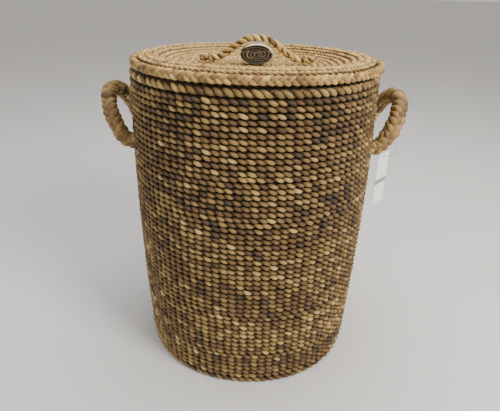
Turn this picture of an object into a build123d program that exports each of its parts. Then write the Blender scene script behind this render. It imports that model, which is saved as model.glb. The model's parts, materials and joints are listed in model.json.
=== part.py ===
from build123d import *
import os
from math import asin, atan2, cos, degrees, hypot, pi, radians, sin, tanh

# Woven laundry basket with a lift-off lid, two side handles and a swing tag.
# Millimetres, +Z up. The origin is at the centre of the foot, on the floor.
# X runs along the longer half of the oval, through both handles. Y runs front (-) to back (+).

# ---- driving dimensions -------------------------------------------------------------------

# Every oval here is a line of half-length "spine" along X, grown by "reach" all round.
SPINE_FLATNESS = 2.0
OUTLINE_POINTS = 28

MOUTH_SPINE, MOUTH_REACH = 21.0, 197.0
FOOT_SPINE, FOOT_REACH = 15.0, 191.0
BELLY_GROWTH = 7.0               # how far the wall swells at half height

RIM_TOP = 550.0
RIM_HEIGHT = 15.0
FOOT_HEIGHT = 12.0

WEAVE_OUTER_THICKNESS = 6.0      # the strands that pass in front of the stakes
STAKE_SPACE = 4.4
WEAVE_INNER_THICKNESS = 4.0      # the strands that pass behind them
WALL_THICKNESS = WEAVE_OUTER_THICKNESS + STAKE_SPACE + WEAVE_INNER_THICKNESS
STAKE_RADIUS = 1.6
STAKE_COUNT = 40
STAKE_BENDS = 5                  # points along a stake, which follows the wall's swell

BASE_UNDERSIDE, BASE_THICKNESS = 8.0, 10.0
SPOKE_WIDTH, SPOKE_THICKNESS, SPOKE_COUNT = 8.0, 3.0, 6

LID_SPINE, LID_REACH = 21.0, 200.0
LID_SHIFT = 3.0                  # the loose lid sits a little to the right
LID_GAP = 2.0                    # between the top of the rim and the lid that rests on it
LID_RIM_WIDTH, LID_RIM_HEIGHT, LID_RIM_ROUND = 15.0, 14.5, 5.0
LID_COIL_TURNS = 16
LID_CENTRE_REACH = 6.0
LID_COIL_THICKNESS = 12.0
LID_CENTRE_TOP = 553.0           # the lid is dished towards its centre
LID_DISH_POWER = 4
LID_CREST_TOP = 574.0            # its rounded shoulder is highest a little inside the edge
LID_CREST_SHARE = 0.88
LID_SHOULDER_DROP = 5.0
COLLAR_TOP, COLLAR_DEPTH = 558.5, 26.0
COLLAR_WIDTH, COLLAR_CLEARANCE = 9.0, 4.0

ARCH_ROPE_RADIUS = 7.2
ARCH_HALF_LENGTH, ARCH_HALF_SPAN, ARCH_HALF_CROWN = 100.0, 62.0, 25.0
ARCH_RISE = 35.6
ARCH_FOOT_BEND, ARCH_CROWN_BEND = 26.0, 52.0
ARCH_LIFT = 1.4                  # the flat ends bridge the sag in the middle of the lid
STITCH_RADIUS = 1.5
STITCH_X = 84.0

ROLL_HALF_WIDTH, ROLL_HALF_HEIGHT = 29.0, 17.4
ROLL_FRONT, ROLL_BACK = -22.0, 8.0
ROLL_WRAP_THICKNESS, ROLL_WRAP_LIP = 2.5, 1.0

HANDLE_ROPE_RADIUS = 14.5
HANDLE_HALF_SPAN = 60.0          # half the distance between a handle's two feet
HANDLE_LEG = 20.0
HANDLE_FOOT_X, HANDLE_FOOT_Z = 229.0, 428.0
HANDLE_LEAN = 23.7               # degrees outwards from upright
ROOT_RADIUS, ROOT_GAP = 9.5, 0.6
ROOT_KNOT_RADIUS, ROOT_KNOT_THICKNESS = 17.0, 10.0

TAG_WIDTH, TAG_LENGTH, TAG_THICKNESS = 36.0, 98.0, 0.8
TAG_HOLE_RADIUS, TAG_HOLE_DROP = 2.5, 6.0
TAG_WIRE_RADIUS = 0.7
TAG_LOOP_HALF_WIDTH, TAG_LOOP_CORNER, TAG_LOOP_DROP = 20.0, 5.0, 33.0
TAG_EYE_RADIUS = 1.7             # the gap between the handle's strands that the loop goes through
TAG_EYE_RISE = 12.0              # from the handle's foot up its leg to that gap

WALL_BASE = FOOT_HEIGHT
WALL_TOP = RIM_TOP - RIM_HEIGHT


# ---- shared shapes ------------------------------------------------------------------------

def outline_point(spine, reach, turn, height):
    """One point of an oval: a line along X grown by reach, with softened corners."""
    along = spine * tanh(SPINE_FLATNESS * cos(turn)) / tanh(SPINE_FLATNESS)
    return Vector(along + reach * cos(turn), reach * sin(turn), height)


def oval_face(spine, reach, height):
    """The oval as a flat face at one height."""
    points = [outline_point(spine, reach, 2 * pi * i / OUTLINE_POINTS, height) for i in range(OUTLINE_POINTS)]
    return make_face(Spline(*points, periodic=True))


def oval_plate(spine, reach, bottom, top):
    """A flat plate with the oval outline."""
    return extrude(oval_face(spine, reach, bottom), top - bottom, dir=(0, 0, 1))


def oval_ring(spine, outer, inner, bottom, top):
    """A ring between two ovals that share a spine."""
    return oval_plate(spine, outer, bottom, top) - oval_plate(spine, inner, bottom - 1, top + 1)


def rounded_ring(spine, outer, inner, bottom, top, radius):
    """A ring with its four long edges rounded, like a rope or a braid."""
    ring = oval_ring(spine, outer, inner, bottom, top)
    return fillet(ring.faces().sort_by(Axis.Z)[0].edges() + ring.faces().sort_by(Axis.Z)[-1].edges(), radius)


def wall_section(height):
    """Spine and reach of the wall's outer face at a height."""
    share = height / RIM_TOP
    swell = BELLY_GROWTH * 4 * share * (1 - share)
    spine = FOOT_SPINE + (MOUTH_SPINE - FOOT_SPINE) * share
    reach = FOOT_REACH + (MOUTH_REACH - FOOT_REACH) * share + swell
    return spine, reach


def wall_body(inset, bottom, top):
    """The solid inside the wall's outer face moved inwards by inset."""
    sections = []
    for step in range(5):
        height = bottom + (top - bottom) * step / 4
        spine, reach = wall_section(height)
        sections.append(oval_face(spine, reach - inset, height))
    return loft(sections)


def wall_layer(outer_inset, inner_inset):
    """One layer of the wall, between two insets."""
    hollow = wall_body(inner_inset, WALL_BASE - 4, WALL_TOP + 4)
    return wall_body(outer_inset, WALL_BASE, WALL_TOP) - hollow


def rod(start, end, radius):
    """A round rod between two points."""
    run = end - start
    return Solid.make_cylinder(radius, run.length, Plane(origin=start, z_dir=run.normalized()))


def save(shape, name):
    export_step(shape, f"parts/{name}.step")


def save_on_lid(shape, name):
    """Saves a piece of the lid, which is drawn centred and sits a little off centre."""
    save(Pos(LID_SHIFT, 0, 0) * shape, name)


# ---- basket -------------------------------------------------------------------------------

def foot_ring():
    """The border that the basket stands on."""
    spine, reach = wall_section(0)
    return rounded_ring(spine, reach, reach - WALL_THICKNESS, 0, FOOT_HEIGHT, 3.0)


def rim_rope():
    """The thick two-strand rope along the mouth."""
    spine, reach = wall_section(WALL_TOP)
    return rounded_ring(spine, reach, reach - WALL_THICKNESS, WALL_TOP, RIM_TOP, 4.5)


def base_weave():
    """The woven floor of the basket, inside the foot ring."""
    spine, reach = wall_section(0)
    edge = reach - WALL_THICKNESS
    lower = oval_plate(spine, edge, BASE_UNDERSIDE, FOOT_HEIGHT - 3)
    upper = oval_plate(spine, edge - 1.2, FOOT_HEIGHT - 3, BASE_UNDERSIDE + BASE_THICKNESS)
    return lower + upper


def base_spokes():
    """The flat splints that cross under the floor and turn up into the stakes."""
    spine, reach = wall_section(0)
    star = None
    for i in range(SPOKE_COUNT):
        turn = pi * (i + 0.5) / SPOKE_COUNT
        tip = outline_point(spine, reach - WALL_THICKNESS - 6, turn, 0)
        splint = Box(2 * hypot(tip.X, tip.Y), SPOKE_WIDTH, SPOKE_THICKNESS)
        splint = Rot(0, 0, degrees(atan2(tip.Y, tip.X))) * splint
        star = splint if star is None else star + splint
    return Pos(0, 0, BASE_UNDERSIDE - SPOKE_THICKNESS / 2) * star


def stake(index):
    """One upright stake in the space inside the wall, bent a little to follow it."""
    turn = 2 * pi * (index + 0.5) / STAKE_COUNT
    inset = WEAVE_OUTER_THICKNESS + STAKE_SPACE / 2
    points = []
    for step in range(STAKE_BENDS):
        height = WALL_BASE + 1 + (WALL_TOP - WALL_BASE - 2) * step / (STAKE_BENDS - 1)
        spine, reach = wall_section(height)
        points.append(outline_point(spine, reach - inset, turn, height))
    whole = rod(points[0], points[1], STAKE_RADIUS)
    for start, end in zip(points[1:], points[2:]):
        whole += Pos(start) * Sphere(STAKE_RADIUS) + rod(start, end, STAKE_RADIUS)
    return whole


def handle_root(side, front):
    """The end of a handle's braid, pushed through the wall and knotted inside it."""
    outer_end = HANDLE_FOOT_X - HANDLE_ROPE_RADIUS - ROOT_GAP
    spine, reach = wall_section(HANDLE_FOOT_Z)
    turn = asin(HANDLE_HALF_SPAN / (reach - WALL_THICKNESS))
    inner_face = outline_point(spine, reach - WALL_THICKNESS, turn, 0).X
    knot_face = inner_face - 4.0
    neck = rod(Vector(knot_face, 0, 0), Vector(outer_end, 0, 0), ROOT_RADIUS)
    knot = rod(Vector(knot_face - ROOT_KNOT_THICKNESS, 0, 0), Vector(knot_face, 0, 0), ROOT_KNOT_RADIUS)
    knot = fillet(knot.edges().filter_by(GeomType.CIRCLE), 3.0)
    root = Pos(0, front * HANDLE_HALF_SPAN, HANDLE_FOOT_Z) * (neck + knot)
    return root if side > 0 else mirror(root, about=Plane.YZ)


# ---- handles ------------------------------------------------------------------------------

def handle(side):
    """A braided hoop: two short legs and a half circle, with round ends at its feet."""
    crown = Rot(0, 90, 0) * Torus(HANDLE_HALF_SPAN, HANDLE_ROPE_RADIUS)
    keep = Pos(0, 0, 100) * Box(200, 200, 200)
    hoop = Pos(0, 0, HANDLE_LEG) * (crown & keep)
    for front in (-1, 1):
        foot = Vector(0, front * HANDLE_HALF_SPAN, 0)
        hoop += rod(foot, foot + Vector(0, 0, HANDLE_LEG), HANDLE_ROPE_RADIUS)
        hoop += Pos(foot) * Sphere(HANDLE_ROPE_RADIUS)
    placed = Pos(HANDLE_FOOT_X, 0, HANDLE_FOOT_Z) * (Rot(0, HANDLE_LEAN, 0) * hoop)
    return placed if side > 0 else mirror(placed, about=Plane.YZ)


# ---- lid ----------------------------------------------------------------------------------

LID_UNDERSIDE = RIM_TOP + LID_GAP
LID_COIL_REACH = LID_REACH - LID_RIM_WIDTH
COIL_PITCH = (LID_COIL_REACH - LID_CENTRE_REACH) / LID_COIL_TURNS


def lid_top(reach):
    """Height of the lid's top at a distance from its spine."""
    share = reach / LID_COIL_REACH / LID_CREST_SHARE
    if share < 1:
        return LID_CENTRE_TOP + (LID_CREST_TOP - LID_CENTRE_TOP) * share ** LID_DISH_POWER
    beyond = (share - 1) / (1 / LID_CREST_SHARE - 1)
    return LID_CREST_TOP - LID_SHOULDER_DROP * beyond ** 2


def lid_centre():
    """The straight start of the coiled braid."""
    top = lid_top(0)
    return oval_plate(LID_SPINE, LID_CENTRE_REACH, top - LID_COIL_THICKNESS, top)


def lid_turn(number):
    """One turn of the coiled braid, numbered from the centre."""
    inner = LID_CENTRE_REACH + COIL_PITCH * (number - 1)
    top = lid_top(inner + COIL_PITCH / 2)
    return oval_ring(LID_SPINE, inner + COIL_PITCH, inner, top - LID_COIL_THICKNESS, top)


def lid_rim():
    """The thick braid along the edge of the lid."""
    top = LID_UNDERSIDE + LID_RIM_HEIGHT
    return rounded_ring(LID_SPINE, LID_REACH, LID_COIL_REACH, LID_UNDERSIDE, top, LID_RIM_ROUND)


def lid_collar():
    """The ring under the lid that keeps it centred in the mouth."""
    outer = MOUTH_REACH - WALL_THICKNESS - COLLAR_CLEARANCE
    bottom = COLLAR_TOP - COLLAR_DEPTH
    return rounded_ring(LID_SPINE, outer, outer - COLLAR_WIDTH, bottom, COLLAR_TOP, 2.5)


ARCH_REST = LID_CENTRE_TOP + ARCH_LIFT + ARCH_ROPE_RADIUS


def lid_arch():
    """The rope arch that the lid is lifted by, with its two ends flat on the lid."""
    corners = [(-ARCH_HALF_LENGTH, ARCH_REST), (-ARCH_HALF_SPAN, ARCH_REST)]
    corners.append((-ARCH_HALF_CROWN, ARCH_REST + ARCH_RISE))
    corners += [(-x, z) for x, z in reversed(corners)]
    bends = [ARCH_FOOT_BEND, ARCH_CROWN_BEND, ARCH_CROWN_BEND, ARCH_FOOT_BEND]
    path = FilletPolyline(*[Vector(x, 0, z) for x, z in corners], radius=bends)
    section = Plane(origin=path @ 0, z_dir=path % 0) * Circle(ARCH_ROPE_RADIUS)
    return sweep(section, path=path)


def arch_stitch(side):
    """A cord sewn over one end of the arch, with its two legs in the lid."""
    radius = ARCH_ROPE_RADIUS + STITCH_RADIUS + 0.2
    loop = (Rot(0, 90, 0) * Torus(radius, STITCH_RADIUS)) & (Pos(0, 0, 50) * Box(100, 100, 100))
    leg_end = lid_top(STITCH_X + STITCH_RADIUS) + 0.3 - ARCH_REST
    for front in (-1, 1):
        loop += rod(Vector(0, front * radius, leg_end), Vector(0, front * radius, 0), STITCH_RADIUS)
    return Pos(side * STITCH_X, 0, ARCH_REST) * loop


ROLL_CENTRE_Z = LID_CENTRE_TOP + 0.8 + ROLL_HALF_HEIGHT


def roll_bar(half_width, half_height, front, back):
    """An oval bar lying on the lid with its ends facing front and back."""
    face = Plane.XZ * Ellipse(half_width, half_height)
    bar = extrude(face, back - front, dir=(0, 1, 0))
    return Pos(0, front, ROLL_CENTRE_Z) * bar


def lid_roll():
    """The tightly rolled strip under the arch."""
    inset = ROLL_WRAP_THICKNESS
    front, back = ROLL_FRONT + ROLL_WRAP_LIP, ROLL_BACK - ROLL_WRAP_LIP
    return roll_bar(ROLL_HALF_WIDTH - inset, ROLL_HALF_HEIGHT - inset, front, back)


def lid_roll_wrap():
    """The paler strip wound round the outside of the roll."""
    inset = ROLL_WRAP_THICKNESS
    outside = roll_bar(ROLL_HALF_WIDTH, ROLL_HALF_HEIGHT, ROLL_FRONT, ROLL_BACK)
    inside = roll_bar(ROLL_HALF_WIDTH - inset, ROLL_HALF_HEIGHT - inset, ROLL_FRONT - 1, ROLL_BACK + 1)
    return outside - inside


# ---- swing tag ----------------------------------------------------------------------------

def tag_pivot():
    """The middle of the gap in the right handle's front leg that the loop goes through.

    Its x axis runs through the gap, and its y axis is straight up.
    """
    lean = radians(HANDLE_LEAN)
    leg = Vector(sin(lean), 0, cos(lean))
    foot = Vector(HANDLE_FOOT_X, -HANDLE_HALF_SPAN, HANDLE_FOOT_Z)
    middle = foot + leg * TAG_EYE_RISE
    return Plane(origin=middle, x_dir=Vector(1, -1, 0), z_dir=Vector(-1, -1, 0))


def tag_eye():
    """The hole that the loop's wire needs through the handle's leg."""
    length = 4 * TAG_LOOP_HALF_WIDTH
    return tag_pivot().location * (Rot(0, 90, 0) * Cylinder(TAG_EYE_RADIUS, length))


def tag_loop():
    """The clear plastic loop: a straight top through the handle, and a round end below."""
    half, drop = TAG_LOOP_HALF_WIDTH, TAG_LOOP_DROP
    corners = [(half, 0), (half, -drop), (-half, -drop), (-half, 0)]
    bends = [TAG_LOOP_CORNER, half - 0.01, half - 0.01, TAG_LOOP_CORNER]
    path = FilletPolyline(*corners, radius=bends, close=True)
    wire = sweep(Plane(origin=path @ 0, z_dir=path % 0) * Circle(TAG_WIRE_RADIUS), path=path)
    return tag_pivot().location * wire


def tag_card():
    """The blank card, with rounded corners and a hole for its loop."""
    hole_y = -TAG_LOOP_DROP
    card = extrude(RectangleRounded(TAG_WIDTH, TAG_LENGTH, 3.0), TAG_THICKNESS / 2, both=True)
    card = Pos(0, hole_y + TAG_HOLE_DROP - TAG_LENGTH / 2, 0) * card
    card -= Pos(0, hole_y, 0) * Cylinder(TAG_HOLE_RADIUS, 10)
    return tag_pivot().location * (Rot(0, 90, 0) * card)


# ---- build --------------------------------------------------------------------------------

os.makedirs("parts", exist_ok=True)

save(foot_ring(), "foot_ring")
save(base_weave(), "base_weave")
save(base_spokes(), "base_spokes")
save(Compound(children=[stake(i) for i in range(STAKE_COUNT)]), "stakes")

roots = {
    f"handle_root_{side_name}_{front_name}": handle_root(side, front)
    for side_name, side in (("left", -1), ("right", 1))
    for front_name, front in (("front", -1), ("rear", 1))
}
weave_outer = wall_layer(0, WEAVE_OUTER_THICKNESS)
weave_inner = wall_layer(WALL_THICKNESS - WEAVE_INNER_THICKNESS, WALL_THICKNESS)
for name, root in roots.items():
    save(root, name)
    weave_outer -= root
    weave_inner -= root
save(weave_outer, "weave_outer")
save(weave_inner, "weave_inner")
save(rim_rope(), "rim_rope")

save(handle(-1), "handle_left")
save(handle(1) - tag_eye(), "handle_right")

save_on_lid(lid_centre(), "lid_centre_braid")
for number in range(1, LID_COIL_TURNS + 1):
    save_on_lid(lid_turn(number), f"lid_coil_turn_{number:02d}")
save_on_lid(lid_rim(), "lid_rim_braid")
save_on_lid(lid_collar(), "lid_collar")
save_on_lid(lid_arch(), "lid_arch")
save_on_lid(arch_stitch(-1), "arch_stitch_left")
save_on_lid(arch_stitch(1), "arch_stitch_right")
save_on_lid(lid_roll(), "lid_roll")
save_on_lid(lid_roll_wrap(), "lid_roll_wrap")

save(tag_loop(), "tag_loop")
save(tag_card(), "tag_card")
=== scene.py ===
import json
import math

import bpy
import numpy as np
from mathutils import Matrix, Vector


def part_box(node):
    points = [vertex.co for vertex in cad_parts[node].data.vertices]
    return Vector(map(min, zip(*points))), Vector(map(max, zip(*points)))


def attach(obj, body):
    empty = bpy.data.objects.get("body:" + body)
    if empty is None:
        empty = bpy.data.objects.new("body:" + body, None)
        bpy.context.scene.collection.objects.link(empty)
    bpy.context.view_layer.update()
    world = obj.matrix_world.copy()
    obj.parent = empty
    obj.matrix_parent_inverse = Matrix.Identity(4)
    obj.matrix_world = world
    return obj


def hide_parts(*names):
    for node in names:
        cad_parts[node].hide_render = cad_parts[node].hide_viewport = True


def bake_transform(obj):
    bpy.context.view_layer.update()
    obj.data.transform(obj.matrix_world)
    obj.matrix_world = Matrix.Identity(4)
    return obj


# Looks for the woven laundry basket: every rope, braid and strip is built strand by strand along the CAD's
# own ovals. Metres, in the CAD's frame.

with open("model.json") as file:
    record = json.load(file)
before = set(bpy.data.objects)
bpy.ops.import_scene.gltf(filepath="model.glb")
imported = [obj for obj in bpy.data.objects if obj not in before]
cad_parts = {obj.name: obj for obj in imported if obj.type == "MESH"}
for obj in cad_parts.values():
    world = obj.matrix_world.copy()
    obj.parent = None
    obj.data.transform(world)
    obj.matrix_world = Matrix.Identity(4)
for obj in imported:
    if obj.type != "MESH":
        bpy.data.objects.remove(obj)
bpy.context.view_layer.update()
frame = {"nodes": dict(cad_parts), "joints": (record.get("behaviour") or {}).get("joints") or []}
random = np.random.default_rng(11)

MM = 0.001
TAU = 2 * math.pi

# ---- sizes that the CAD doesn't hold ------------------------------------------------------

OVAL_FLATNESS = 2.0              # how softly the ovals' long sides turn into their ends
WALL_ROWS = 54
ROWS_IN_A_BAND = 9
BELLY = 7.0 * MM
COIL_TURNS = 16
COIL_DEPTH = 5.0 * MM            # middle of the lid's coiled plait, below its top
LID_TILT = -0.010                # the lid's front edge sits a little higher than its back
LID_EDGE_INSET = 7.2 * MM
LID_SEAM_INSET = 14.3 * MM       # the sewn joint between the edge plait and the coil
COLLAR_ROWS = 3
FLOOR_PITCH = 9.6 * MM
KNOT_INSET, KNOT_SIZE, KNOT_SWAY = 6.5 * MM, 4.1 * MM, 1.6 * MM
ARCH_CROWN, ARCH_SLOPE = 8 * MM, 70 * MM
CORD_INSET = 1.5 * MM            # from a stitch's box to the middle of its cord
ROLL_TURNS = 4
ROLL_MARGIN = 2.4 * MM           # from the roll's box to the middle of its outermost dark turn
WRAP_RADIUS = 0.95 * MM          # half the thickness of the strip round the roll, which carries a painted highlight
FIBRE_LENGTH = (3 * MM, 9 * MM)
FIBRE_RADIUS = 0.28 * MM
LAYOUT_MARGIN = 0.04             # share of a tube's band in the texture layout that stays empty

# Length of rope that one visible lobe takes, or that a plait takes to repeat.
WALL_LOBE, RIM_LOBE, FLOOR_LOBE, COLLAR_LOBE = 13.3 * MM, 13.6 * MM, 15 * MM, 13 * MM
ARCH_LOBE, CORD_LOBE, KNOT_LOBE, NECK_LOBE = 13 * MM, 3 * MM, 9 * MM, 12 * MM
COIL_REPEAT, LID_EDGE_REPEAT, HANDLE_REPEAT = 27 * MM, 35 * MM, 35 * MM

# A rope's section: how far its strands swing across and up, then a strand's radius across and up.
WALL_SECTION = ((3.5 * MM, 2.0 * MM), (3.6 * MM, 3.35 * MM))
RIM_SECTION = ((3.3 * MM, 3.1 * MM), (4.0 * MM, 4.2 * MM))
FOOT_SECTION = ((3.2 * MM, 2.4 * MM), (3.8 * MM, 3.3 * MM))
FLOOR_SECTION = ((2.8 * MM, 1.7 * MM), (3.1 * MM, 3.0 * MM))
KNOT_SECTION = ((1.9 * MM, 1.9 * MM), (2.3 * MM, 2.3 * MM))
NECK_SECTION = ((4.4 * MM, 4.4 * MM), (4.9 * MM, 4.9 * MM))
COIL_SECTION = ((3.6 * MM, 1.6 * MM), (3.0 * MM, 2.8 * MM))
LID_EDGE_SECTION = ((4.2 * MM, 2.7 * MM), (3.9 * MM, 3.8 * MM))
COLLAR_SECTION = ((2.0 * MM, 1.6 * MM), (2.4 * MM, 2.8 * MM))
ARCH_SECTION = ((3.3 * MM, 3.3 * MM), (3.7 * MM, 3.7 * MM))
CORD_SECTION = ((0.7 * MM, 0.7 * MM), (0.85 * MM, 0.85 * MM))
HANDLE_SECTION = ((7.0 * MM, 5.4 * MM), (7.3 * MM, 7.4 * MM))

UP = np.array([0.0, 0.0, 1.0])
ACROSS = np.array([1.0, 0.0, 0.0])


def half_size(node):
    low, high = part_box(node)
    return (high - low) / 2


def middle(node):
    low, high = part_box(node)
    return (high + low) / 2


def oval_of(node):
    """Spine half-length and reach of a node's outer oval."""
    size = half_size(node)
    return size.x - size.y, size.y


FOOT_SPINE, FOOT_REACH = oval_of("foot_ring")
RIM_SPINE, RIM_REACH = oval_of("rim_rope")
FOOT_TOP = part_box("foot_ring")[1].z
RIM_BOTTOM, RIM_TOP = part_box("rim_rope")[0].z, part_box("rim_rope")[1].z
WALL_THICKNESS = FOOT_REACH - half_size("base_weave").y


# ---- curves -------------------------------------------------------------------------------

def oval(spine, reach, turn):
    """Points of an oval, one for each turn angle, in the plane."""
    along = spine * np.tanh(OVAL_FLATNESS * np.cos(turn)) / np.tanh(OVAL_FLATNESS)
    return np.stack([along + reach * np.cos(turn), reach * np.sin(turn)], axis=1)


def evenly(points, count, closed):
    """The same curve with evenly spaced points."""
    if closed:
        points = np.vstack([points, points[:1]])
    steps = np.linalg.norm(np.diff(points, axis=0), axis=1)
    run = np.concatenate([[0], np.cumsum(steps)])
    wanted = np.linspace(0, run[-1], count + 1)[:-1] if closed else np.linspace(0, run[-1], count)
    return np.stack([np.interp(wanted, run, points[:, k]) for k in range(3)], axis=1), run[-1]


def length_of(points, closed):
    return evenly(points, 3, closed)[1]


def unit(vectors):
    return vectors / np.maximum(np.linalg.norm(vectors, axis=1), 1e-12)[:, None]


def along(points, closed):
    """Unit directions along a curve."""
    if closed:
        return unit(np.roll(points, -1, axis=0) - np.roll(points, 1, axis=0))
    return unit(np.gradient(points, axis=0))


def smooth_noise(count, waves, size):
    """A smooth random wobble round a closed curve."""
    turn = np.linspace(0, TAU, count, endpoint=False)
    total = np.zeros(count)
    for wave in waves:
        total += np.sin(wave * turn + random.uniform(0, TAU)) / len(waves)
    return total * size


# ---- strands ------------------------------------------------------------------------------

class Strands:
    """Tubes that are gathered into one mesh, with what its material needs to know."""

    def __init__(self):
        self.points, self.fibre, self.tone, self.depth = [], [], [], []
        self.quads, self.caps, self.tubes = [], [], []
        self.total = 0

    def tube(self, centre, side, radius_side, radius_up, tone, depth, closed, sides=8, square=1.0):
        """One tube round a centre line. square below 1 makes its section boxier."""
        count = len(centre)
        forward = along(centre, closed)
        side = unit(side - forward * np.sum(side * forward, axis=1)[:, None])
        up = np.cross(forward, side)
        angle = TAU * np.arange(sides) / sides
        across = np.sign(np.cos(angle)) * np.abs(np.cos(angle)) ** square
        upward = np.sign(np.sin(angle)) * np.abs(np.sin(angle)) ** square
        offset = (side[:, None] * (radius_side[:, None] * across)[..., None]
                  + up[:, None] * (radius_up[:, None] * upward)[..., None])
        step = np.linalg.norm(np.diff(centre, axis=0), axis=1)
        run = np.concatenate([[0], np.cumsum(step)]) + random.uniform(0, 50)
        twist = angle[None, :] + run[:, None] * 90
        fibre = np.stack([np.repeat(run[:, None], sides, 1), np.cos(twist), np.sin(twist)], axis=2)
        self.points.append((centre[:, None] + offset).reshape(-1, 3))
        self.fibre.append(fibre.reshape(-1, 3))
        self.tone.append(np.repeat(tone, sides))
        self.depth.append(depth(centre, offset, side).ravel())
        self._faces(count, sides, closed)

    def _faces(self, count, sides, closed):
        rings = np.arange(count if closed else count - 1)
        spots = np.arange(sides)
        here, there = rings[:, None] * sides, ((rings + 1) % count)[:, None] * sides
        after = (spots + 1) % sides
        quads = np.stack([here + spots, there + spots, there + after, here + after], axis=2)
        self.quads.append(quads.reshape(-1, 4) + self.total)
        self.tubes.append((len(rings), sides))
        if not closed:
            self.caps.append((spots + self.total).tolist())
            self.caps.append((spots[::-1] + (count - 1) * sides + self.total).tolist())
        self.total += count * sides

    def piece(self, name, material):
        """The mesh object, with a texture layout of one band for each tube."""
        mesh = bpy.data.meshes.new(name)
        quads = np.vstack(self.quads)
        corners = np.concatenate([quads.ravel()] + [np.array(cap) for cap in self.caps]).astype(np.int32)
        sizes = [4] * len(quads) + [len(cap) for cap in self.caps]
        starts = np.concatenate([[0], np.cumsum(sizes)[:-1]]).astype(np.int32)
        points = np.vstack(self.points)
        mesh.vertices.add(len(points))
        mesh.vertices.foreach_set("co", points.astype(np.float32).ravel())
        mesh.loops.add(len(corners))
        mesh.loops.foreach_set("vertex_index", corners)
        mesh.polygons.add(len(sizes))
        mesh.polygons.foreach_set("loop_start", starts)
        mesh.update(calc_edges=True)
        layout = np.full((len(corners), 2), 0.0005)
        layout[: len(quads) * 4] = self._layout()
        mesh.uv_layers.new(name="OFBake").data.foreach_set("uv", layout.astype(np.float32).ravel())
        for label, kind, values in (("fibre", "FLOAT_VECTOR", np.vstack(self.fibre)),
                                    ("tone", "FLOAT", np.concatenate(self.tone)),
                                    ("depth", "FLOAT", np.concatenate(self.depth))):
            field = "vector" if kind == "FLOAT_VECTOR" else "value"
            data = mesh.attributes.new(label, kind, "POINT").data
            data.foreach_set(field, values.astype(np.float32).ravel())
        mesh.polygons.foreach_set("use_smooth", np.full(len(sizes), True))
        mesh.materials.append(material)
        mesh.validate()
        thing = bpy.data.objects.new(name, mesh)
        bpy.context.scene.collection.objects.link(thing)
        return thing

    def _layout(self):
        bands = []
        for number, (rings, sides) in enumerate(self.tubes):
            u = np.arange(rings)[:, None, None] + np.array([0, 1, 1, 0])
            v = np.arange(sides)[None, :, None] + np.array([0, 0, 1, 1])
            level = (number + LAYOUT_MARGIN + (1 - 2 * LAYOUT_MARGIN) * v / sides) / len(self.tubes)
            band = np.stack(np.broadcast_arrays(u / rings, level), 3)
            bands.append(band.reshape(-1, 2))
        return np.vstack(bands)


def lay(strands, path, side, up, motion, radii, tones, closed, sides, reach, upright):
    """One strand of a rope: the path moved sideways and up, in a tube whose depth from the core sets its
    painted shade, darkest towards the core.
    """
    out, rise = motion
    centre = path + side * out[:, None] + up * rise[:, None]

    def depth(middle_line, offset, _):
        whole = offset + (middle_line - path)[:, None]
        across = np.sum(whole * side[:, None], axis=2)
        height = np.sum(whole * up[:, None], axis=2) * upright
        return np.clip(np.hypot(across, height) / reach, 0, 1)

    strands.tube(centre, side, radii[0], radii[1], tones, depth, closed, sides)


def even_depth(value):
    """The same depth all over a tube."""
    return lambda centre, offset, side: np.full(offset.shape[:2], value)


# DEEP paints a tube with the full painted shade of a gap; OPEN darkens it only a little, evenly.
OPEN, DEEP = even_depth(0.8), even_depth(0.15)


def lobe_values(phase, spread):
    """One random value for each half twist of a strand, held along that half twist."""
    lobe = np.floor(phase / math.pi + 0.5).astype(int)
    lobe -= lobe.min()
    return random.normal(0, spread, lobe.max() + 1)[lobe]


def twist_rope(strands, path, side, up, lobe, swing, radius, tone, closed=True, rings=6, sides=8,
               upright=0.0):
    """A rope of two strands twisted round each other. lobe is the visible length of one strand's pass.

    upright says how far the painted shade towards its core is measured upwards too, for a rope that is seen
    from all sides.
    """
    total = length_of(path, closed)
    lobes = max(2, int(round(total / lobe / 2)) * 2)
    path, _ = evenly(path, lobes * rings, closed)
    side_at, up_at = frames(path, side, up, closed)
    run = np.arange(len(path)) / rings
    reach = swing[0] + radius[0]
    for number in range(2):
        phase = TAU * (run / 2 + number / 2) + smooth_noise(len(path), (3, 7, 13, 29), 0.5)
        plump = 1 + 0.22 * (np.cos(phase) ** 2 - 0.6) + 0.5 * lobe_values(phase, 0.10)
        motion = (swing[0] * np.cos(phase), -swing[1] * np.sin(phase))
        tones = np.clip(tone_at(path, tone) + lobe_values(phase, 0.20), 0.02, 0.98)
        lay(strands, path, side_at, up_at, motion, (radius[0] * plump, radius[1] * plump), tones, closed,
            sides, reach, upright)


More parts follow.
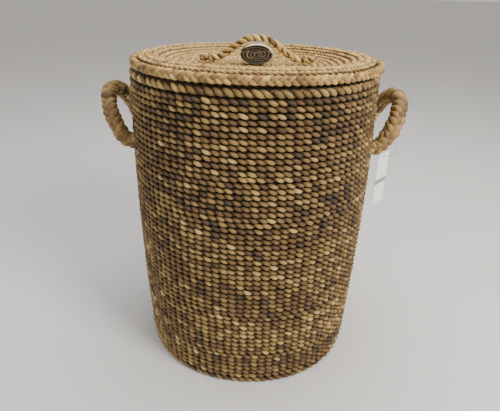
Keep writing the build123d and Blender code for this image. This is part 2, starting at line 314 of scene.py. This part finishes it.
def braid_rope(strands, path, side, up, period, swing, radius, tone, closed=False, rings=14, sides=7,
               flat=True, spread=0.15, edge=0.0, taper=0.0):
    """A plait of three strands. flat lays it with its face up; otherwise it stands on its edge.

    edge says how far its two edges are kept out of the painted shade, and taper is the share of its length
    that narrows to its end.
    """
    total = length_of(path, closed)
    periods = max(1, int(round(total / period)))
    path, _ = evenly(path, periods * rings, closed)
    side_at, up_at = frames(path, side, up, closed)
    run = np.arange(len(path)) / rings
    for number in range(3):
        phase = TAU * (run + number / 3)
        narrow = np.clip((1 - run / periods) / taper, 0.15, 1) if taper else np.ones(len(run))
        wide, thick = swing[0] * narrow * np.sin(phase), swing[1] * np.sin(2 * phase)
        motion = (wide, thick) if flat else (thick, wide)
        plump = 1 + 0.12 * np.cos(2 * phase) + lobe_values(phase, 0.07)
        tones = np.clip(tone_at(path, tone) + lobe_values(phase, spread), 0.02, 0.98)
        centre = path + side_at * motion[0][:, None] + up_at * motion[1][:, None]

        # Painted shade: darker where the strand dips under its neighbours and, unless edge is 1, along the
        # plait's two edges.
        def depth(_, offset, __, wide=wide, thick=thick):
            across = wide[:, None] + np.sum(offset * (side_at if flat else up_at)[:, None], axis=2)
            facing = thick[:, None] + np.sum(offset * (up_at if flat else side_at)[:, None], axis=2)
            level = np.hypot(edge * across / (swing[0] + radius[0]), facing / (swing[1] + radius[1]))
            return np.clip(0.08 + 0.95 * level, 0, 1)

        strands.tube(centre, side_at, radius[0] * plump * narrow, radius[1] * plump * narrow ** 0.5, tones,
                     depth, closed, sides)


def tone_at(path, tone):
    """The tone of a stretch of rope, with darker and lighter patches a few rows across."""
    x, y, z = path[:, 0], path[:, 1], path[:, 2]
    patch = np.sin(21 * x + 33 * z + 1.3) * np.sin(27 * y - 19 * z + 0.4) + np.sin(9 * x - 14 * y + 41 * z)
    return tone + 0.07 * patch


def frames(path, side, up, closed):
    """Sideways and upward unit directions at each point of a path."""
    forward = along(path, closed)
    side_at = side(path, forward) if callable(side) else np.broadcast_to(side, path.shape)
    side_at = unit(side_at - forward * np.sum(side_at * forward, axis=1)[:, None])
    up_at = np.cross(forward, side_at)
    wanted = np.broadcast_to(up, path.shape)
    flip = np.sign(np.sum(up_at * wanted, axis=1))
    up_at = up_at * np.where(flip == 0, 1, flip)[:, None]
    return side_at, up_at


def outward(path, forward):
    """The level direction away from the middle of an oval path."""
    level = np.stack([forward[:, 1], -forward[:, 0], np.zeros(len(path))], axis=1)
    away = np.sign(np.sum(level * path, axis=1))
    return level * np.where(away == 0, 1, away)[:, None]


# ---- materials ----------------------------------------------------------------------------

def new_material(name):
    material = bpy.data.materials.new(name)
    material.use_nodes = True
    nodes, links = material.node_tree.nodes, material.node_tree.links
    return material, nodes, links, nodes["Principled BSDF"]


def ramp(nodes, stops):
    node = nodes.new("ShaderNodeValToRGB")
    while len(node.color_ramp.elements) < len(stops):
        node.color_ramp.elements.new(0.5)
    for element, (place, colour) in zip(node.color_ramp.elements, stops):
        element.position = place
        element.color = (*colour, 1)
    return node


def maths(nodes, links, operation, first, second):
    node = nodes.new("ShaderNodeMath")
    node.operation = operation
    for slot, value in enumerate((first, second)):
        if isinstance(value, (int, float)):
            node.inputs[slot].default_value = value
        else:
            links.new(value, node.inputs[slot])
    return node.outputs[0]


def fibre_material(name, colours, streak=0.55, gap_shade=0.10, roughness=0.62):
    """Dry plant fibre: fine streaks along each strand, tones from strand to strand, and painted shade in the
    gaps between strands and rows.
    """
    material, nodes, links, shader = new_material(name)
    fibre, tone, depth = (nodes.new("ShaderNodeAttribute") for _ in range(3))
    fibre.attribute_name, tone.attribute_name, depth.attribute_name = "fibre", "tone", "depth"
    stretch = nodes.new("ShaderNodeMapping")
    stretch.inputs["Scale"].default_value = (170, 5.5, 5.5)
    links.new(fibre.outputs["Vector"], stretch.inputs["Vector"])
    streaks = nodes.new("ShaderNodeTexNoise")
    streaks.inputs["Scale"].default_value = 1.0
    streaks.inputs["Detail"].default_value = 4.0
    streaks.inputs["Roughness"].default_value = 0.62
    links.new(stretch.outputs["Vector"], streaks.inputs["Vector"])
    broad = nodes.new("ShaderNodeMapping")
    broad.inputs["Scale"].default_value = (45, 1.6, 1.6)
    links.new(fibre.outputs["Vector"], broad.inputs["Vector"])
    stains = nodes.new("ShaderNodeTexNoise")
    stains.inputs["Scale"].default_value = 1.0
    stains.inputs["Detail"].default_value = 2.0
    links.new(broad.outputs["Vector"], stains.inputs["Vector"])
    shift = maths(nodes, links, "MULTIPLY", maths(nodes, links, "SUBTRACT", stains.outputs["Fac"], 0.5), 0.45)
    mixed_tone = maths(nodes, links, "ADD", tone.outputs["Fac"], shift)
    places = np.linspace(0, 1, len(colours))
    base = ramp(nodes, list(zip(places, colours)))
    links.new(mixed_tone, base.inputs["Fac"])
    low = 1 - streak
    lines = ramp(nodes, [(0.32, (low, low * 0.97, low * 0.92)), (0.5, (0.92, 0.92, 0.92)),
                         (0.7, (1.12, 1.1, 1.05))])
    links.new(streaks.outputs["Fac"], lines.inputs["Fac"])
    # Painted shade: the depth attribute darkens the colour towards the gap colour where a point lies deep
    # between strands and rows.
    shade = ramp(nodes, [(0.25, (gap_shade, gap_shade * 0.9, gap_shade * 0.8)), (0.62, (0.62, 0.6, 0.57)), (0.9, (1, 1, 1))])
    links.new(depth.outputs["Fac"], shade.inputs["Fac"])
    colour = base.outputs["Color"]
    for factor in (lines, shade):
        mix = nodes.new("ShaderNodeMix")
        mix.data_type, mix.blend_type = "RGBA", "MULTIPLY"
        mix.inputs["Factor"].default_value = 1.0
        links.new(colour, mix.inputs["A"])
        links.new(factor.outputs["Color"], mix.inputs["B"])
        colour = mix.outputs["Result"]
    links.new(colour, shader.inputs["Base Color"])
    worn = maths(nodes, links, "MULTIPLY", streaks.outputs["Fac"], 0.25)
    links.new(maths(nodes, links, "ADD", worn, roughness - 0.12), shader.inputs["Roughness"])
    shader.inputs["Specular IOR Level"].default_value = 0.38
    bump = nodes.new("ShaderNodeBump")
    bump.inputs["Strength"].default_value = 0.75
    bump.inputs["Distance"].default_value = 0.0006
    links.new(streaks.outputs["Fac"], bump.inputs["Height"])
    links.new(bump.outputs["Normal"], shader.inputs["Normal"])
    return material


WALL_TONES = [(0.060, 0.042, 0.024), (0.150, 0.082, 0.031), (0.225, 0.142, 0.050), (0.400, 0.265, 0.095),
              (0.640, 0.465, 0.195)]
LID_TONES = [(0.130, 0.075, 0.030), (0.300, 0.175, 0.060), (0.490, 0.320, 0.112), (0.650, 0.445, 0.175),
             (0.800, 0.600, 0.290)]
HANDLE_TONES = [(0.050, 0.035, 0.020), (0.160, 0.093, 0.036), (0.310, 0.195, 0.075), (0.480, 0.325, 0.128),
                (0.680, 0.500, 0.225)]
ROLL_TONES = [(0.030, 0.023, 0.016), (0.080, 0.062, 0.043), (0.105, 0.083, 0.058), (0.160, 0.127, 0.089),
              (0.230, 0.185, 0.130)]
# Tones of the strip round the roll, from its dark tone up to the pale of its painted highlight.
WRAP_HIGHLIGHT_TONES = [(0.075, 0.062, 0.046), (0.200, 0.165, 0.115), (0.460, 0.390, 0.270), (0.700, 0.620, 0.440),
              (0.860, 0.780, 0.590)]

WALL = fibre_material("wall_fibre", WALL_TONES)
LID = fibre_material("lid_fibre", LID_TONES, streak=0.65, gap_shade=0.10)
HANDLE = fibre_material("handle_fibre", HANDLE_TONES, streak=0.7, gap_shade=0.06)
ARCH = fibre_material("arch_fibre", LID_TONES, gap_shade=0.12)
ROLL = fibre_material("rolled_leaf", ROLL_TONES, gap_shade=0.12, roughness=0.8)
WRAP_HIGHLIGHT_FIBRE = fibre_material("wrap_fibre_highlight", WRAP_HIGHLIGHT_TONES, streak=0.3, gap_shade=0.5, roughness=0.45)


def cane_material():
    """Peeled cane for the stakes and splints, which the CAD draws at their true shape."""
    material, nodes, links, shader = new_material("cane")
    place = nodes.new("ShaderNodeTexCoord")
    stretch = nodes.new("ShaderNodeMapping")
    stretch.inputs["Scale"].default_value = (900, 900, 25)
    links.new(place.outputs["Object"], stretch.inputs["Vector"])
    grain = nodes.new("ShaderNodeTexNoise")
    grain.inputs["Scale"].default_value = 1.0
    grain.inputs["Detail"].default_value = 4.0
    links.new(stretch.outputs["Vector"], grain.inputs["Vector"])
    colour = ramp(nodes, [(0.3, (0.16, 0.10, 0.05)), (0.55, (0.30, 0.20, 0.10)), (0.75, (0.42, 0.30, 0.16))])
    links.new(grain.outputs["Fac"], colour.inputs["Fac"])
    links.new(colour.outputs["Color"], shader.inputs["Base Color"])
    shader.inputs["Roughness"].default_value = 0.55
    bump = nodes.new("ShaderNodeBump")
    bump.inputs["Strength"].default_value = 0.4
    bump.inputs["Distance"].default_value = 0.0004
    links.new(grain.outputs["Fac"], bump.inputs["Height"])
    links.new(bump.outputs["Normal"], shader.inputs["Normal"])
    return material


def card_material():
    """White coated card with one plain grey printed band."""
    material, nodes, links, shader = new_material("white_card")
    low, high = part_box("tag_card")
    place = nodes.new("ShaderNodeTexCoord")
    split = nodes.new("ShaderNodeSeparateXYZ")
    links.new(place.outputs["Object"], split.inputs["Vector"])
    band_low, band_width = low.z + (high.z - low.z) * 0.40, 9 * MM
    above = maths(nodes, links, "GREATER_THAN", split.outputs["Z"], band_low)
    below = maths(nodes, links, "LESS_THAN", split.outputs["Z"], band_low + band_width)
    in_band = maths(nodes, links, "MULTIPLY", above, below)
    grain = nodes.new("ShaderNodeTexNoise")
    grain.inputs["Scale"].default_value = 900
    links.new(place.outputs["Object"], grain.inputs["Vector"])
    paper = ramp(nodes, [(0.3, (0.90, 0.90, 0.90)), (0.7, (0.96, 0.96, 0.96))])
    links.new(grain.outputs["Fac"], paper.inputs["Fac"])
    mix = nodes.new("ShaderNodeMix")
    mix.data_type = "RGBA"
    mix.inputs["B"].default_value = (0.30, 0.31, 0.33, 1)
    links.new(in_band, mix.inputs["Factor"])
    links.new(paper.outputs["Color"], mix.inputs["A"])
    links.new(mix.outputs["Result"], shader.inputs["Base Color"])
    shader.inputs["Roughness"].default_value = 0.42
    return material


def plastic_material():
    """Clear plastic of the tag's loop, a little cloudy."""
    material, nodes, links, shader = new_material("clear_plastic")
    cloud = nodes.new("ShaderNodeTexNoise")
    cloud.inputs["Scale"].default_value = 300
    tint = ramp(nodes, [(0.3, (0.78, 0.80, 0.80)), (0.7, (0.90, 0.92, 0.92))])
    links.new(cloud.outputs["Fac"], tint.inputs["Fac"])
    links.new(tint.outputs["Color"], shader.inputs["Base Color"])
    shader.inputs["Roughness"].default_value = 0.18
    shader.inputs["Transmission Weight"].default_value = 0.55
    shader.inputs["IOR"].default_value = 1.45
    return material


def repaint(node, material):
    thing = frame["nodes"][node]
    thing.data.materials.clear()
    thing.data.materials.append(material)


def finish_piece(piece, body, slot, *nodes):
    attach(piece, body)
    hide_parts(*nodes)


# ---- basket -------------------------------------------------------------------------------

def wall_oval(height):
    """Spine and reach of the wall's outer face at a height."""
    share = height / RIM_TOP
    swell = BELLY * 4 * share * (1 - share)
    spine = FOOT_SPINE + (RIM_SPINE - FOOT_SPINE) * share
    return spine, FOOT_REACH + (RIM_REACH - FOOT_REACH) * share + swell


def row_path(height, inset, wobble):
    """One level row round the wall, at a depth inside its outer face."""
    spine, reach = wall_oval(height)
    turn = np.linspace(0, TAU, 720, endpoint=False)
    plan = oval(spine, reach - inset + smooth_noise(720, (2, 5, 9), wobble), turn)
    return np.column_stack([plan, height + smooth_noise(720, (2, 3, 7), wobble)])


def core(strands, path, pitch):
    """The packed fibre in the middle of a row, which closes the gaps between its lobes; it is painted dark
    all over, as painted shade deep between the lobes.
    """
    count = 240
    path, _ = evenly(path, count, True)
    thin, tall, tones = np.full(count, 1.2 * MM), np.full(count, 0.62 * pitch), np.full(count, 0.1)
    strands.tube(path, outward(path, along(path, True)), thin, tall, tones, DEEP, True, sides=6)


def wall():
    """The wall's rows of two-strand rope, in bands that each make one piece."""
    pitch = (RIM_BOTTOM - FOOT_TOP) / WALL_ROWS
    bands = WALL_ROWS // ROWS_IN_A_BAND
    for band in range(bands):
        strands = Strands()
        for row in range(ROWS_IN_A_BAND):
            height = FOOT_TOP + (band * ROWS_IN_A_BAND + row + 0.5) * pitch
            path = row_path(height, WALL_THICKNESS / 2, 0.7 * MM)
            tone = 0.46 + random.normal(0, 0.05)
            twist_rope(strands, path, outward, UP, WALL_LOBE, *WALL_SECTION, tone)
            core(strands, path, pitch)
        piece = strands.piece(f"wall_rope_{band + 1}", WALL)
        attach(piece, "basket")
        if band == 0:
            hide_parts("weave_outer", "weave_inner")


def mouth_rim():
    strands = Strands()
    path = row_path((RIM_BOTTOM + RIM_TOP) / 2, WALL_THICKNESS / 2, 0.4 * MM)
    twist_rope(strands, path, outward, UP, RIM_LOBE, *RIM_SECTION, 0.58, upright=0.8, rings=8, sides=10)
    core(strands, path, 16 * MM)
    finish_piece(strands.piece("mouth_rim_rope", WALL), "basket", "wall_rope", "rim_rope")


def foot():
    strands = Strands()
    path = row_path(FOOT_TOP / 2, WALL_THICKNESS / 2, 0.3 * MM)
    twist_rope(strands, path, outward, UP, RIM_LOBE, *FOOT_SECTION, 0.42, rings=7)
    finish_piece(strands.piece("foot_rope", WALL), "basket", "wall_rope", "foot_ring")


def spiral(spine, first, last, pitch, height_at, centre_x, tail=0.0):
    """A coil that grows by one pitch a turn, from one reach to another, and its reach at each point.

    The tail is a share of a turn that grows half as fast, so that a tapering end fills the last step.
    """
    turns = (last - first) / pitch
    turn = np.linspace(0, TAU * (turns + tail), int(720 * (turns + tail)))
    ends = [0, TAU * turns, TAU * (turns + tail) + 1e-9]
    reach = np.interp(turn, ends, [first, last, last + pitch * tail / 2])
    x, y = oval(spine, reach, turn).T
    return np.column_stack([x + centre_x, y, height_at(reach, y)]), reach


def floor_weave():
    """The coiled rope floor of the basket."""
    low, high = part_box("base_weave")
    spine, reach = oval_of("base_weave")
    level = (low.z + high.z) / 2
    path, _ = spiral(spine, 3 * MM, reach - 4 * MM, FLOOR_PITCH, lambda r, y: np.full(len(r), level), 0.0)
    strands = Strands()
    twist_rope(strands, path, outward, UP, FLOOR_LOBE, *FLOOR_SECTION, 0.5, closed=False, upright=1.0,
               sides=7)
    finish_piece(strands.piece("floor_rope", WALL), "basket", "wall_rope", "base_weave")


def knots():
    """The knotted ends of the handles' braids inside the wall."""
    turn = np.linspace(0, TAU, 120, endpoint=False)
    for side in ("left", "right"):
        for end in ("front", "rear"):
            node = f"handle_root_{side}_{end}"
            low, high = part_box(node)
            sign = -1 if side == "left" else 1
            inner_x, outer_x = (high.x, low.x) if side == "left" else (low.x, high.x)
            knot_x = inner_x + sign * KNOT_INSET
            y, z = (low.y + high.y) / 2, (low.z + high.z) / 2
            strands = Strands()
            loops = np.column_stack([knot_x + KNOT_SWAY * np.sin(3 * turn),
                                     y + KNOT_SIZE * (np.sin(turn) + 2 * np.sin(2 * turn)),
                                     z + KNOT_SIZE * (np.cos(turn) - 2 * np.cos(2 * turn))])
            twist_rope(strands, loops, ACROSS, UP, KNOT_LOBE, *KNOT_SECTION, 0.5, upright=1.0)
            neck = np.linspace((knot_x, y, z), (outer_x, y, z), 40)
            twist_rope(strands, neck, UP, UP, NECK_LOBE, *NECK_SECTION, 0.5, closed=False, upright=1.0)
            finish_piece(strands.piece(f"knot_{side}_{end}", HANDLE), "basket", "handle_braid", node)


# ---- lid ----------------------------------------------------------------------------------

LID_X = middle("lid_rim_braid").x
TURNS = [f"lid_coil_turn_{number:02d}" for number in range(1, COIL_TURNS + 1)]
COIL_SPINE, COIL_REACH = oval_of(TURNS[-1])
COIL_PITCH = COIL_REACH - half_size(TURNS[-2]).y
TURN_REACHES = [half_size(node).y - COIL_PITCH / 2 for node in TURNS]
TURN_TOPS = [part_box(node)[1].z for node in TURNS]


def lid_height(reach, y):
    """Height of the lid's top, which is dished, with a rounded shoulder, and tilts a little forward."""
    return np.interp(reach, [0] + TURN_REACHES, [TURN_TOPS[0]] + TURN_TOPS) + LID_TILT * y


def lid_coil():
    """The coiled plait of the lid, in three lengths."""
    first, last = 5 * MM, COIL_REACH - COIL_PITCH * 0.45
    whole, reach = spiral(COIL_SPINE, first, last, COIL_PITCH, lambda r, y: lid_height(r, y) - COIL_DEPTH,
                          LID_X, tail=0.97)
    last_turn = length_of(whole[-700:], False)
    cuts = (first, TURN_REACHES[5], TURN_REACHES[10], COIL_REACH + COIL_PITCH)
    names = ("lid_coil_inner", "lid_coil_middle", "lid_coil_outer")
    groups = (["lid_centre_braid"] + TURNS[:6], TURNS[6:11], TURNS[11:])
    for name, group, start, stop in zip(names, groups, cuts, cuts[1:]):
        part = whole[(reach >= start - 0.2 * MM) & (reach <= stop)]
        taper = last_turn / length_of(part, False) if name == names[-1] else 0.0
        strands = Strands()
        braid_rope(strands, part, outward, UP, COIL_REPEAT, *COIL_SECTION, 0.60, spread=0.19, edge=0.35,
                   taper=taper)
        finish_piece(strands.piece(name, LID), "lid", "lid_braid", *group)


def lid_ring(node, inset, level, tilt=0.0):
    """A closed path round the lid, inside a node's outer oval."""
    spine, reach = oval_of(node)
    x, y = oval(spine, reach - inset, np.linspace(0, TAU, 720, endpoint=False)).T
    return np.column_stack([x + LID_X, y, level + tilt * y])


def lid_rim():
    """The thick plait along the lid's edge, standing on its edge."""
    level = middle("lid_rim_braid").z
    path = lid_ring("lid_rim_braid", LID_EDGE_INSET, level, LID_TILT)
    strands = Strands()
    braid_rope(strands, path, outward, UP, LID_EDGE_REPEAT, *LID_EDGE_SECTION, 0.36, closed=True, rings=24,
               sides=10, flat=False, spread=0.17, edge=1.0)
    # A dark core along the seam, as painted shade in the gap between the edge plait and the coil.
    core(strands, lid_ring("lid_rim_braid", LID_SEAM_INSET, level - 1 * MM, LID_TILT), 6 * MM)
    finish_piece(strands.piece("lid_edge_braid", LID), "lid", "lid_braid", "lid_rim_braid")


def lid_collar():
    """Rows of rope under the lid that drop into the mouth."""
    low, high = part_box("lid_collar")
    strands = Strands()
    for row in range(COLLAR_ROWS):
        level = low.z + (high.z - low.z) * (row + 0.5) / COLLAR_ROWS
        path = lid_ring("lid_collar", 4.5 * MM, level)
        twist_rope(strands, path, outward, UP, COLLAR_LOBE, *COLLAR_SECTION, 0.5)
    finish_piece(strands.piece("lid_collar_rope", LID), "lid", "lid_braid", "lid_collar")


def arch():
    """The twisted rope arch, flat on the lid at both ends."""
    low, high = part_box("lid_arch")
    radius = (high.y - low.y) / 2
    rest, crown = low.z + radius, high.z - radius
    centre, half = (low.x + high.x) / 2, (high.x - low.x) / 2
    x = np.linspace(-half, half, 300)
    blend = np.clip((np.abs(x) - ARCH_CROWN) / ARCH_SLOPE, 0, 1)
    z = rest + (crown - rest) * (0.5 + 0.5 * np.cos(math.pi * blend))
    path = np.column_stack([x + centre, np.zeros(len(x)), z])
    strands = Strands()
    twist_rope(strands, path, np.array([0, -1.0, 0]), UP, ARCH_LOBE, *ARCH_SECTION, 0.60, closed=False,
               upright=1.0, rings=10, sides=10)
    finish_piece(strands.piece("arch_rope", ARCH), "lid", "arch_rope", "lid_arch")


def arch_stitches():
    """The cords that sew the arch's ends to the lid."""
    for side in ("left", "right"):
        low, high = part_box(f"arch_stitch_{side}")
        x = (low.x + high.x) / 2
        bend = np.linspace(math.pi, 0, 60)
        span = (high.y - low.y) / 2 - CORD_INSET
        top = high.z - CORD_INSET - span + span * np.sin(bend)
        over = np.column_stack([np.full(60, x), span * np.cos(bend), top])
        path = np.vstack([[(x, -span, low.z)], over, [(x, span, low.z)]])
        strands = Strands()
        twist_rope(strands, path, ACROSS, UP, CORD_LOBE, *CORD_SECTION, 0.5, closed=False, upright=1.0)
        piece = strands.piece(f"arch_stitch_cord_{side}", ARCH)
        finish_piece(piece, "lid", "arch_rope", f"arch_stitch_{side}")


def strip_depth(_, offset, side):
    """Full colour along the middle of a strip's edge, with painted shade in the gaps between its turns."""
    across = np.abs(np.sum(offset * side[:, None], axis=2))
    return 1 - 0.85 * across / across.max(axis=1, keepdims=True)


def roll():
    """The dark strip rolled up under the arch, and the strip round it, dark, with a painted highlight along
    its upper right.
    """
    low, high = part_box("lid_roll_wrap")
    centre = np.array((low + high) / 2)
    half = (high - low) / 2
    turn = np.linspace(0.4, TAU * ROLL_TURNS, 700)
    grow = 0.07 + 0.93 * turn / turn[-1]
    wide, tall = half.x - ROLL_MARGIN, half.z - ROLL_MARGIN
    ragged = smooth_noise(len(turn), (11, 23, 41, 67), 0.35 * MM)
    path = np.column_stack([wide * grow * np.cos(turn), ragged, tall * grow * np.sin(turn)]) + centre
    pitch = np.hypot(wide * np.cos(turn), tall * np.sin(turn)) / ROLL_TURNS
    strands = Strands()
    tones = np.clip(0.52 + lobe_values(turn * 2.2, 0.16), 0, 1)
    strands.tube(path, path - centre, 0.43 * pitch, np.full(len(turn), half.y - 1.4 * MM), tones, strip_depth,
                 False, sides=16, square=0.35)
    finish_piece(strands.piece("rolled_strip", ROLL), "lid", "roll_strip", "lid_roll")
    count = 220
    turn = np.linspace(-0.4 * math.pi, 1.6 * math.pi, count)
    wide, tall = half.x - 1 * MM, half.z - 1 * MM
    path = np.column_stack([wide * np.cos(turn), np.zeros(count), tall * np.sin(turn)]) + centre
    strands = Strands()
    # Painted highlight: the strip's tone rises to pale along its upper right arc, where light falls; the rest
    # keeps its dark tone.
    lit = 1 / (1 + np.exp(-9 * (np.cos(turn - 0.85) - 0.15)))
    tones = np.clip(0.05 + 0.9 * lit + lobe_values(turn * 3, 0.04), 0, 1)
    strands.tube(path, path - centre, np.full(count, WRAP_RADIUS), np.full(count, half.y), tones, OPEN, False,
                 sides=16, square=0.35)
    finish_piece(strands.piece("roll_outer_strip", WRAP_HIGHLIGHT_FIBRE), "lid", "pale_strip", "lid_roll_wrap")


# ---- handles ------------------------------------------------------------------------------

def spline(points, count):
    """A smooth curve through points (Catmull-Rom)."""
    points = np.array(points, float)
    ends = np.vstack([2 * points[0] - points[1], points, 2 * points[-1] - points[-2]])
    result = []
    for k in range(len(points) - 1):
        a, b, c, d = ends[k: k + 4]
        t = np.linspace(0, 1, count, endpoint=k == len(points) - 2)[:, None]
        result.append(0.5 * (2 * b + (c - a) * t + (2 * a - 5 * b + 4 * c - d) * t ** 2
                             + (3 * b - a - 3 * c + d) * t ** 3))
    return np.vstack(result)


def handle(side):
    """A thick round plait that comes out of the wall, rises in a hoop and goes back in."""
    name = "left" if side < 0 else "right"
    low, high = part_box(f"handle_{name}")
    joint = next(j for j in frame["joints"] if j["name"] == f"handle_{name}_swing")
    foot_x, foot_z = abs(joint["pos_m"][0]), joint["pos_m"][2]
    radius = foot_z - low.z
    span = high.y - radius
    top_x, top_z = max(abs(low.x), abs(high.x)) - radius, high.z - radius
    lean = np.array([top_x - foot_x, 0, top_z - foot_z])
    rise = np.linalg.norm(lean)
    lean = lean / rise
    crown = np.array([foot_x, 0, foot_z]) + lean * (rise - span)
    bend = np.linspace(0, math.pi, 25)
    hoop = crown + np.outer(np.sin(bend), lean * span)
    hoop[:, 1] = -span * np.cos(bend)
    # Its route through the wall is listed.
    front = [(foot_x - 34 * MM, -span, foot_z - 4 * MM), (foot_x - 12 * MM, -span, foot_z - 6 * MM),
             (foot_x + 1 * MM, -span, foot_z + 5 * MM)]
    rear = [(x, -y, z) for x, y, z in reversed(front)]
    path = spline(front + [tuple(p) for p in hoop] + rear, 8)
    path[:, 0] *= side
    strands = Strands()
    across = np.array([side * lean[2], 0, -lean[0]])
    braid_rope(strands, path, across, UP, HANDLE_REPEAT, *HANDLE_SECTION, 0.5, rings=30, sides=12,
               spread=0.16, edge=1.0)
    piece = strands.piece(f"handle_rope_{name}", HANDLE)
    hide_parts(f"handle_{name}")
    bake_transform(piece)
    free = path[path[:, 2] > foot_z + 20 * MM]

    def spot():
        place = free[random.integers(len(free))]
        out = unit(random.normal(0, 1, (1, 3)))[0]
        return place + out * 9 * MM, out

    stray_fibres(f"handle_stray_fibres_{name}", f"handle_{name}", HANDLE, 70, spot)


# ---- stray fibres -------------------------------------------------------------------------

def stray_fibres(name, body, material, count, place):
    """Short loose ends of fibre that stick out of the weave."""
    strands = Strands()
    for _ in range(count):
        start, out = place()
        drift = unit(random.normal(0, 1, (1, 3)))[0]
        reach = random.uniform(*FIBRE_LENGTH)
        steps = np.linspace(0, 1, 6)[:, None]
        path = start + out * reach * steps + drift * reach * 0.9 * steps ** 2
        thin = FIBRE_RADIUS * (1 - 0.7 * steps[:, 0])
        strands.tube(path, np.broadcast_to(np.cross(out, drift), path.shape), thin, thin,
                     np.full(6, random.uniform(0.5, 0.98)), OPEN, False, sides=4)
    piece = strands.piece(name, material)
    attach(piece, body)


def wall_spot():
    height = random.uniform(FOOT_TOP, RIM_TOP)
    spine, reach = wall_oval(height)
    turn = random.uniform(0, TAU)
    plan = oval(spine, reach - 1.5 * MM, np.array([turn]))[0]
    out = np.array([math.cos(turn), math.sin(turn), random.uniform(-0.4, 0.4)])
    return np.array([*plan, height]), out / np.linalg.norm(out)


def lid_spot():
    reach = random.uniform(0.1, 0.99) * COIL_REACH
    turn = random.uniform(0, TAU)
    plan = oval(COIL_SPINE, reach, np.array([turn]))[0]
    level = float(lid_height(reach, plan[1]))
    return np.array([plan[0] + LID_X, plan[1], level - 1.5 * MM]), np.array([0, 0, 1.0])


# ---- build --------------------------------------------------------------------------------

wall()
mouth_rim()
foot()
floor_weave()
knots()
lid_coil()
lid_rim()
lid_collar()
arch()
arch_stitches()
roll()
handle(-1)
handle(1)
stray_fibres("wall_stray_fibres", "basket", WALL, 260, wall_spot)
stray_fibres("lid_stray_fibres", "lid", LID, 60, lid_spot)
CANE = cane_material()
repaint("stakes", CANE)
repaint("base_spokes", CANE)
repaint("tag_card", card_material())
repaint("tag_loop", plastic_material())


# ---- stage, light and camera --------------------------------------------------------------

def stage_floor():
    bpy.ops.mesh.primitive_circle_add(vertices=128, radius=70, fill_type="NGON", location=(0, 0, -0.2 * MM))
    floor = bpy.context.object
    floor.name = "studio_floor"
    material, nodes, links, shader = new_material("pale_floor")
    shader.inputs["Base Color"].default_value = (0.68, 0.69, 0.73, 1)
    shader.inputs["Roughness"].default_value = 0.7
    floor.data.materials.append(material)


def area_light(name, place, aim, size, power, colour):
    lamp = bpy.data.lights.new(name, "AREA")
    lamp.shape, lamp.size, lamp.size_y = "RECTANGLE", size[0], size[1]
    lamp.energy, lamp.color = power, colour
    thing = bpy.data.objects.new(name, lamp)
    bpy.context.scene.collection.objects.link(thing)
    thing.location = place
    thing.rotation_euler = (Vector(aim) - Vector(place)).to_track_quat("-Z", "Y").to_euler()


def studio():
    world = bpy.data.worlds.new("studio")
    bpy.context.scene.world = world
    world.use_nodes = True
    background = world.node_tree.nodes["Background"]
    background.inputs["Color"].default_value = (0.95, 0.89, 0.80, 1)
    background.inputs["Strength"].default_value = 0.66
    aim = (0, 0, 0.35)
    area_light("key", (1.5, -1.25, 1.9), aim, (0.8, 0.8), 70, (1.0, 0.93, 0.80))
    area_light("fill", (-1.6, -1.1, 1.0), aim, (1.4, 1.4), 9, (0.94, 0.97, 1.0))
    area_light("top", (0.1, 0.3, 2.1), aim, (1.2, 1.2), 26, (1.0, 0.94, 0.84))


def camera():
    """A hand-held view of the front from chest height."""
    lens = bpy.data.cameras.new("camera")
    lens.sensor_width, lens.lens = 36.0, 29.93
    lens.shift_y = -0.11
    thing = bpy.data.objects.new("camera", lens)
    bpy.context.scene.collection.objects.link(thing)
    pitch, yaw, roll_angle = math.radians(90 - 21.03), 0.009, 0.026
    turned = Matrix.Rotation(yaw, 4, "Z") @ Matrix.Rotation(pitch, 4, "X")
    turned = turned @ Matrix.Rotation(roll_angle, 4, "Z")
    thing.matrix_world = Matrix.Translation((0.002, -0.7511, 0.6743)) @ turned
    lens.clip_start = 0.01
    bpy.context.scene.camera = thing


stage_floor()
studio()
camera()
